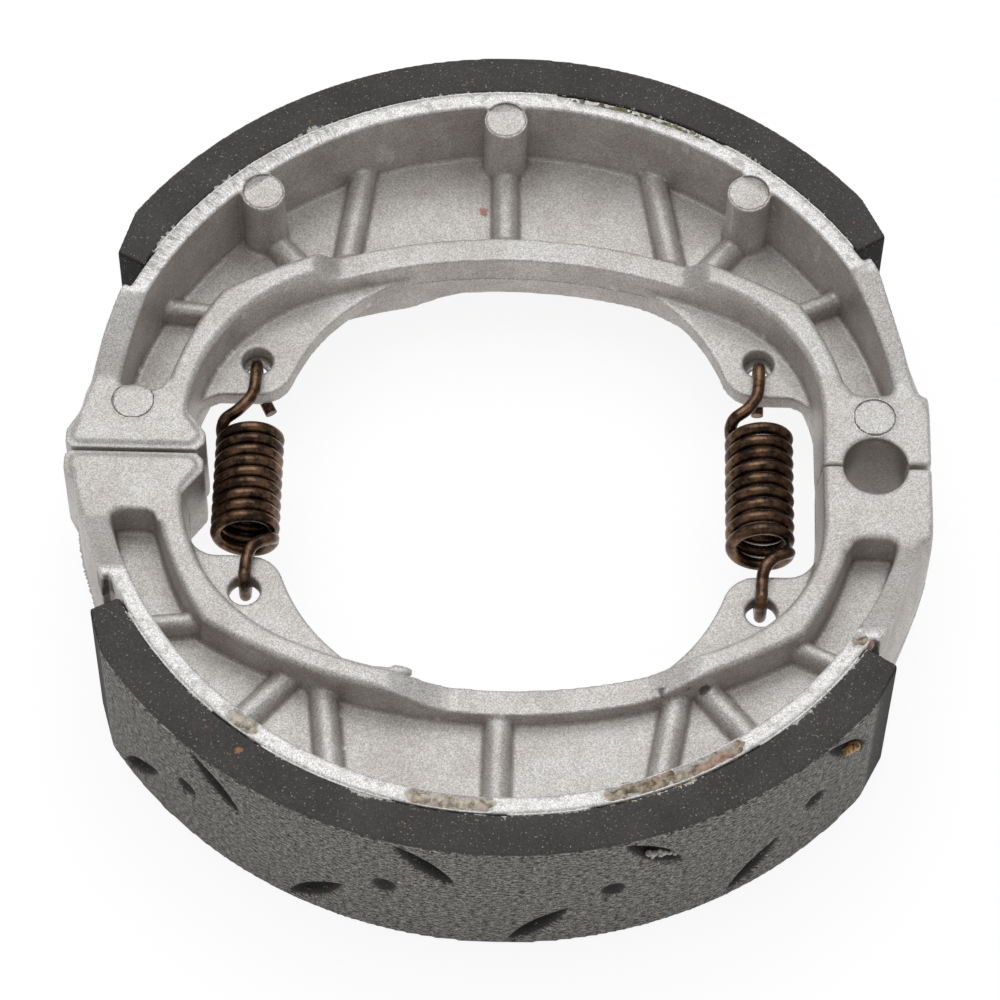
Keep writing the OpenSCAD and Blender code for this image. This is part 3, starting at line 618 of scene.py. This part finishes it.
def friction_material():
    m = new_material("moulded_friction_lining")
    place = add_node(m, "TexCoord").outputs["Object"]
    split = add_node(m, "SeparateXYZ", {"Vector": place})
    flat = add_node(m, "CombineXYZ", {"X": split.outputs["X"], "Y": split.outputs["Y"]})
    radius = add_node(m, "VectorMath", {0: flat.outputs[0]}, operation="LENGTH")
    turn = add_node(m, "Math", {0: split.outputs["Y"], 1: split.outputs["X"]}, operation="ARCTAN2")
    # streaks that run round the drum along the ground face
    round_way = add_node(m, "Math", {0: turn.outputs[0], 1: DRUM_R / STREAK_L}, operation="MULTIPLY")
    across_way = add_node(m, "Math", {0: split.outputs["Z"], 1: 1 / (STREAK_W * MM)},
                          operation="MULTIPLY")
    wrapped = add_node(m, "CombineXYZ", {"X": round_way.outputs[0], "Y": across_way.outputs[0]})
    streaks = add_node(m, "TexNoise", {"Vector": wrapped.outputs[0], "Scale": 1.0, "Detail": 4.0,
                                       "Roughness": 0.7})
    grain = add_node(m, "TexNoise", {"Vector": place, "Scale": 1 / (0.30 * MM), "Detail": 3.0,
                                     "Roughness": 0.7})
    clouds = add_node(m, "TexNoise", {"Vector": place, "Scale": 1 / (5 * MM), "Detail": 4.0})
    specks = add_node(m, "TexNoise", {"Vector": place, "Scale": 1 / (0.24 * MM), "Detail": 1.0})
    smooth_face = add_node(m, "Mix", {"Factor": clouds.outputs["Fac"], "A": linear("#343332"),
                                      "B": linear("#52504E")}, data_type="RGBA")
    tone = add_node(m, "MapRange", {"Value": streaks.outputs["Fac"], "From Min": 0.42, "From Max": 0.72})
    fibres = add_node(m, "Mix", {"Factor": tone.outputs[0], "A": linear("#282827"),
                                 "B": linear("#CFCCC6")}, data_type="RGBA")
    dust = add_node(m, "MapRange", {"Value": specks.outputs["Fac"], "From Min": 0.60, "From Max": 0.66,
                                    "To Max": 0.65})
    ground_face = add_node(m, "Mix", {"Factor": dust.outputs[0], "A": fibres.outputs["Result"],
                                      "B": linear("#D6D3CC")}, data_type="RGBA")
    # the ground face is everything near the drum radius, away from the two flat sides
    outer = add_node(m, "MapRange", {"Value": radius.outputs["Value"], "From Min": 54.62 * MM,
                                     "From Max": 54.88 * MM})
    height = add_node(m, "Math", {0: split.outputs["Z"], 1: MID_Z * MM}, operation="SUBTRACT")
    off_middle = add_node(m, "Math", {0: height.outputs[0]}, operation="ABSOLUTE")
    inside = add_node(m, "MapRange", {"Value": off_middle.outputs[0], "From Min": 11.14 * MM,
                                      "From Max": 11.02 * MM})
    ground = add_node(m, "Math", {0: outer.outputs[0], 1: inside.outputs[0]}, operation="MULTIPLY")
    face = add_node(m, "Mix", {"Factor": ground.outputs[0], "A": smooth_face.outputs["Result"],
                               "B": ground_face.outputs["Result"]}, data_type="RGBA")
    # painted shade: the slots, which are all that lies deeper and away from the flat sides, are painted
    # nearly black
    deep = add_node(m, "MapRange", {"Value": radius.outputs["Value"], "From Min": 54.7 * MM,
                                    "From Max": 54.1 * MM})
    slot_shade = add_node(m, "Math", {0: deep.outputs[0], 1: inside.outputs[0]}, operation="MULTIPLY")
    slot_shaded = add_node(m, "Mix", {"Factor": slot_shade.outputs[0], "A": face.outputs["Result"],
                                 "B": linear("#1C1B1A")}, data_type="RGBA")
    bright = add_node(m, "MapRange", {"Value": specks.outputs["Fac"], "From Min": 0.68, "From Max": 0.74,
                                      "To Max": 0.7})
    speckled = add_node(m, "Mix", {"Factor": bright.outputs[0], "A": slot_shaded.outputs["Result"],
                                   "B": linear("#B4ADA2")}, data_type="RGBA")
    # a few rusty specks, larger and rarer
    rusty = add_node(m, "TexNoise", {"Vector": place, "Scale": 1 / (0.8 * MM), "Detail": 2.0})
    rust = add_node(m, "MapRange", {"Value": rusty.outputs["Fac"], "From Min": 0.70, "From Max": 0.74,
                                    "To Max": 0.7})
    look = add_node(m, "Mix", {"Factor": rust.outputs[0], "A": speckled.outputs["Result"],
                               "B": linear("#94694C")}, data_type="RGBA")
    # one orange grain on the flat side of the lower lining
    away = add_node(m, "VectorMath", {0: place, 1: [c * MM for c in ORANGE_GRAIN]}, operation="DISTANCE")
    rough_away = add_node(m, "Math", {0: rusty.outputs["Fac"], 1: 1.6 * MM, 2: away.outputs["Value"]},
                          operation="MULTIPLY_ADD")
    spot = add_node(m, "MapRange", {"Value": rough_away.outputs[0], "From Min": 1.30 * MM,
                                    "From Max": 1.10 * MM, "To Max": 0.8})
    grained = add_node(m, "Mix", {"Factor": spot.outputs[0], "A": look.outputs["Result"],
                                  "B": linear("#B07E58")}, data_type="RGBA")
    # metal dragged over the flat sides from the scraped edge of the table, in ragged teeth
    tooth_way = add_node(m, "Math", {0: turn.outputs[0], 1: TABLE_R / 0.7}, operation="MULTIPLY")
    tooth_in = add_node(m, "Math", {0: radius.outputs["Value"], 1: 1 / (2 * MM)}, operation="MULTIPLY")
    comb = add_node(m, "CombineXYZ", {"X": tooth_way.outputs[0], "Y": tooth_in.outputs[0]})
    teeth = add_node(m, "TexNoise", {"Vector": comb.outputs[0], "Scale": 1.0, "Detail": 3.0,
                                     "Roughness": 0.7})
    drag = add_node(m, "Math", {0: teeth.outputs["Fac"], 1: clouds.outputs["Fac"]}, operation="ADD")
    tips = add_node(m, "Math", {0: drag.outputs[0], 1: -2.4 * MM, 2: radius.outputs["Value"]},
                    operation="MULTIPLY_ADD")
    near_table = add_node(m, "MapRange", {"Value": tips.outputs[0], "From Min": (TABLE_R - 2.32) * MM,
                                          "From Max": (TABLE_R - 2.42) * MM})
    on_flat = add_node(m, "MapRange", {"Value": off_middle.outputs[0], "From Min": 10.9 * MM,
                                       "From Max": 11.05 * MM, "To Max": 0.85})
    smear = add_node(m, "Math", {0: near_table.outputs[0], 1: on_flat.outputs[0]}, operation="MULTIPLY")
    smeared = add_node(m, "Mix", {"Factor": smear.outputs[0], "A": grained.outputs["Result"],
                                  "B": linear("#D2CFCC")}, data_type="RGBA")
    fine = add_node(m, "MapRange", {"Value": grain.outputs["Fac"], "From Min": 0.3, "From Max": 0.7,
                                    "To Min": 0.72, "To Max": 1.3})
    colour = add_node(m, "Mix", {"Factor": 1.0, "A": smeared.outputs["Result"], "B": fine.outputs[0]},
                      data_type="RGBA", blend_type="MULTIPLY")
    felt = add_node(m, "Bump", {"Height": grain.outputs["Fac"], "Strength": 0.5, "Distance": 0.06 * MM})
    body = add_node(m, "BsdfPrincipled", {"Base Color": colour.outputs["Result"], "Roughness": 0.8,
                                          "Normal": felt.outputs[0]})
    add_node(m, "OutputMaterial", {"Surface": body.outputs[0]})
    return m


lining_finish = friction_material()
for piece in linings.values():
    piece.data.materials.append(lining_finish)

# %% [markdown]
# ## Squeezed adhesive
# The linings are bonded with a baked resin. Where too much of it was spread,
# it came out along the joint as a row of glassy blobs, amber grey in some
# places and brown or crumbly and greenish in others. Each row is a chain of
# small balls of random size that a voxel skin melts into one body.

# %% Adhesive beads
BEAD_VOXEL = 0.11 * MM
GLUE_LOOK = {
    "amber": {"size": (0.90, 1.45), "step": 1.50, "spread": (-1.5, -0.7), "seed": 21},
    "brown": {"size": (0.55, 1.10), "step": 0.65, "spread": (-1.7, -0.3), "seed": 22},
    "crumbs": {"size": (0.15, 0.60), "step": 0.45, "spread": (-1.4, -0.1), "seed": 23}}


def bead(name, side, a0, a1, kind):
    look = GLUE_LOOK[kind]
    draw = random.Random(look["seed"] + round(a0))
    angle = a0 + 0.5
    balls = []
    while angle < a1 - 0.4:
        size = draw.uniform(*look["size"])
        middle = facing_up(side, TABLE_R + draw.uniform(*look["spread"]), angle, size + 0.02)
        bpy.ops.mesh.primitive_ico_sphere_add(subdivisions=2, radius=size * MM, location=middle * MM)
        balls.append(bpy.context.object)
        angle += look["step"] * draw.uniform(0.6, 1.2)
    row = joined(balls, name)
    bpy.ops.object.transform_apply(location=True, rotation=True, scale=True)
    modify(row, "REMESH", mode="VOXEL", voxel_size=BEAD_VOXEL)
    modify(row, "SMOOTH", factor=0.5, iterations=3)
    bpy.ops.object.shade_smooth()
    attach(row, side)
    print(name, "has", len(balls), "blobs and", triangle_count(row), "triangles")
    return row


def resin(name, light, dark, gloss, tint=None):
    m = new_material(name)
    place = add_node(m, "TexCoord").outputs["Object"]
    clots = add_node(m, "TexNoise", {"Vector": place, "Scale": 1 / (0.9 * MM), "Detail": 4.0,
                                     "Roughness": 0.7})
    share = add_node(m, "MapRange", {"Value": clots.outputs["Fac"], "From Min": 0.40, "From Max": 0.60})
    colour = add_node(m, "Mix", {"Factor": share.outputs[0], "A": linear(dark), "B": linear(light)},
                      data_type="RGBA")
    drift = add_node(m, "TexNoise", {"Vector": place, "Scale": 1 / (1.8 * MM), "Detail": 2.0})
    tinted = add_node(m, "MapRange", {"Value": drift.outputs["Fac"], "From Min": 0.50, "From Max": 0.62,
                                      "To Max": 0.6})
    colour = add_node(m, "Mix", {"Factor": tinted.outputs[0], "A": colour.outputs["Result"],
                                 "B": linear(tint or light)}, data_type="RGBA")
    skin = add_node(m, "BsdfPrincipled", {"Base Color": colour.outputs["Result"], "Roughness": gloss})
    add_node(m, "OutputMaterial", {"Surface": skin.outputs[0]})
    return m


resins = {"amber": resin("amber_grey_baked_resin", "#D8CFBF", "#8C7B60", 0.25),
          "brown": resin("brown_baked_resin", "#C4B8A4", "#6F5E4A", 0.30, "#B98D7C"),
          "crumbs": resin("crumbled_green_brown_resin", "#A49D7E", "#4E4934", 0.6, "#7B7350")}
for i, (side, a0, a1, kind) in enumerate(GLUE_STRETCHES):
    row = bead("%s_adhesive_%d" % (side, i + 1), side, a0, a1, kind)
    row.data.materials.append(resins[kind])

# %% [markdown]
# ### Lumps in the slots
# A golden crumb of resin sticks in one slot of the lower lining, and shiny
# dark chips lie in another one. Both are small heaps of balls, melted as the
# beads are, and they stay below the ground face.

# %% Lumps in the slots
HEAP_VOXEL = 0.09 * MM
HEAP_TOP_R = 54.95
HEAPS = {"gold": ([(-44.0, 16.2), (-43.3, 15.9), (-42.5, 15.4), (-41.6, 14.7), (-42.9, 14.9)], 0.75),
         "chips": ([(-71.9, 17.8), (-71.2, 17.4), (-70.6, 17.9), (-69.9, 17.0), (-69.3, 16.7),
                    (-68.6, 16.1), (-70.4, 16.8), (-71.5, 17.0)], 0.42)}
heap_looks = {"gold": resin("golden_resin_crumb", "#D9A85C", "#6B4521", 0.25),
              "chips": resin("shiny_dark_chips", "#C9C6C0", "#2B2826", 0.18)}
for kind, (places, size) in HEAPS.items():
    draw = random.Random(kind)
    balls = []
    for angle, z in places:
        lump_r = size * draw.uniform(0.7, 1.1)
        middle = ring_point(HEAP_TOP_R - lump_r, angle, z)
        bpy.ops.mesh.primitive_ico_sphere_add(subdivisions=2, radius=lump_r * MM, location=middle * MM)
        balls.append(bpy.context.object)
    heap = joined(balls, "slot_" + kind)
    bpy.ops.object.transform_apply(location=True, rotation=True, scale=True)
    modify(heap, "REMESH", mode="VOXEL", voxel_size=HEAP_VOXEL)
    if kind == "gold":
        bpy.ops.object.shade_smooth()
    heap.data.materials.append(heap_looks[kind])
    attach(heap, "lower")
    print(heap.name, "has", triangle_count(heap), "triangles")

# %% [markdown]
# ## Return springs
# Each spring is one length of round wire: a hook, nine and a half turns and
# a second hook. The wire follows the same points as the CAD solid, so it
# stays where the ears hold it, but with a rounder section and finer turns.

# %% Path of the wire
WIRE_R = 0.75
EAR_HALF = 1.2
EAR_HOLE_R = 1.9
COIL_R = 3.4
TURNS = 9.5
HOOK_GAP = 0.25


def smooth_path(points, steps):
    path = []
    for i in range(len(points) - 1):
        a, b = points[max(i - 1, 0)], points[i]
        c, d = points[i + 1], points[min(i + 2, len(points) - 1)]
        for k in range(steps):
            t = k / steps
            path.append(0.5 * (2 * b + (c - a) * t + (2 * a - 5 * b + 4 * c - d) * t ** 2
                               + (3 * b - a - 3 * c + d) * t ** 3))
    return path + [points[-1]]


def hook(coil_x, coil_y, hole_x, hole_y, side, tip_x):
    bend = WIRE_R + HOOK_GAP
    lift = EAR_HALF + bend
    edge = hole_y - EAR_HOLE_R
    rise = [(hole_x, edge + bend * math.cos(math.radians(a)), EAR_HALF + bend * math.sin(math.radians(a)))
            for a in (90, 50, 10)]
    return [Vector(p) for p in (
        (coil_x + side * COIL_R, coil_y, 0),
        (coil_x + side * COIL_R, coil_y + 0.35, 0.8),
        (coil_x + side * COIL_R * 0.86, coil_y + 1, lift - 0.4),
        (coil_x + side * COIL_R * 0.4, coil_y + 2.1, lift + 0.15),
        (hole_x + side * 0.25, (coil_y + edge) / 2 + 0.5, lift + 0.1),
        *rise, *((x, y, -z) for x, y, z in rise[::-1]),
        (hole_x + tip_x * 0.35, edge - 1, -lift - 0.1),
        (hole_x + tip_x, edge - 3.2, -lift - 0.5))]


def spring_path(coil_x, shift, pitch, hole_x, hole_y, tip_x, per_turn=40):
    half = TURNS * pitch / 2
    upper = smooth_path(hook(coil_x, half - shift, hole_x, hole_y, -1, tip_x), 8)
    lower = smooth_path(hook(coil_x, half + shift, hole_x, hole_y, 1, 0), 8)
    turns = []
    for i in range(1, int(TURNS * per_turn)):
        a = 2 * math.pi * i / per_turn
        turns.append(Vector((coil_x - COIL_R * math.cos(a), half - shift - pitch * i / per_turn,
                             -COIL_R * math.sin(a))))
    return [p + Vector((0, 0, MID_Z)) for p in
            upper[::-1] + turns + [Vector((p.x, -p.y, p.z)) for p in lower]]


def spring(name, path):
    wire = tube(name, path, WIRE_R)
    bpy.ops.object.shade_smooth_by_angle(angle=math.radians(50))
    print(name, "has", len(wire.data.polygons), "faces")
    return wire


springs = {
    "cam_side_spring": spring("cam_side_wire", spring_path(
        coil_x=-30.9, shift=1.0, pitch=1.53, hole_x=-30.5, hole_y=16.0, tip_x=1.8)),
    "anchor_side_spring": spring("anchor_side_wire", spring_path(
        coil_x=30.2, shift=0.3, pitch=1.75, hole_x=30.2, hole_y=17.3, tip_x=0)),
}
for node_name, piece in springs.items():
    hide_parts(node_name)
    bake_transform(piece)

# %% [markdown]
# ### Finish of the springs
# Hard-drawn spring steel, oiled and gone brown: nearly black between the
# turns, with a rusty brown skin that still throws back a narrow highlight
# along the top of every turn.

# %% Oiled brown spring steel
def spring_steel():
    m = new_material("oiled_brown_spring_steel")
    place = add_node(m, "TexCoord").outputs["Object"]
    stains = add_node(m, "TexNoise", {"Vector": place, "Scale": 1 / (2.2 * MM), "Detail": 6.0,
                                      "Roughness": 0.7})
    pits = add_node(m, "TexNoise", {"Vector": place, "Scale": 1 / (0.3 * MM), "Detail": 3.0,
                                    "Roughness": 0.7})
    share = add_node(m, "MapRange", {"Value": stains.outputs["Fac"], "From Min": 0.42, "From Max": 0.62})
    colour = add_node(m, "Mix", {"Factor": share.outputs[0], "A": linear("#32251D"),
                                 "B": linear("#7E614B")}, data_type="RGBA")
    rough = add_node(m, "MapRange", {"Value": pits.outputs["Fac"], "From Min": 0.35, "From Max": 0.65,
                                     "To Min": 0.13, "To Max": 0.34})
    bump = add_node(m, "Bump", {"Height": pits.outputs["Fac"], "Strength": 0.3, "Distance": 0.03 * MM})
    steel = add_node(m, "BsdfPrincipled", {"Base Color": colour.outputs["Result"], "Metallic": 0.85,
                                           "Roughness": rough.outputs[0], "Normal": bump.outputs[0]})
    add_node(m, "OutputMaterial", {"Surface": steel.outputs[0]})
    return m


steel_finish = spring_steel()
for piece in springs.values():
    piece.data.materials.clear()
    piece.data.materials.append(steel_finish)
